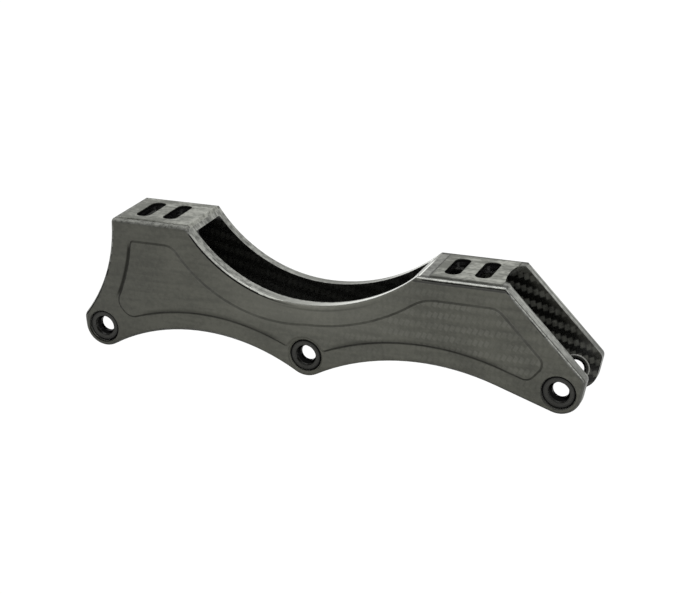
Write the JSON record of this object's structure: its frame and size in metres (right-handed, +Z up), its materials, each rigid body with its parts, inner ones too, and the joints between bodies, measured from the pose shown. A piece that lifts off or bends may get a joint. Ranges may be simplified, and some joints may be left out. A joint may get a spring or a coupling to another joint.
{
  "type": "inline skate frame",
  "caption": "Inline skate frame in carbon laminate: arched side walls joined by a raised heel platform and a lower front platform with cross slots, and flanged bores for the wheel axles.",
  "frame": {"origin": "on the rear axle line, halfway between the side walls", "axes": "+X from heel to toe, +Y to the skater's left along the axles, +Z up to the boot"},
  "size_m": [0.2668, 0.0386, 0.0715],
  "materials": {
    "outer_laminate": "matt dark carbon twill in clear resin",
    "inner_laminate": "glossy carbon twill",
    "cut_laminate": "milled laminate edge with fine layers",
    "faced_laminate": "faced laminate, pale and slightly mottled",
    "foam": "fine closed-cell foam",
    "insert_metal": "dark anodised, turned"
  },
  "bodies": {
    "root": {"outer_skin": "outer_laminate", "inner_skin": "inner_laminate", "right_rim": "cut_laminate", "left_rim": "cut_laminate", "rear_bridge": "cut_laminate", "front_bridge": "cut_laminate", "rear_mount_plate": "faced_laminate", "front_mount_plate": "faced_laminate", "right_core": "foam", "left_core": "foam", "right_rear_insert": "insert_metal", "right_middle_insert": "insert_metal", "right_front_insert": "insert_metal", "left_rear_insert": "insert_metal", "left_middle_insert": "insert_metal", "left_front_insert": "insert_metal"}
  },
  "joints": []
}
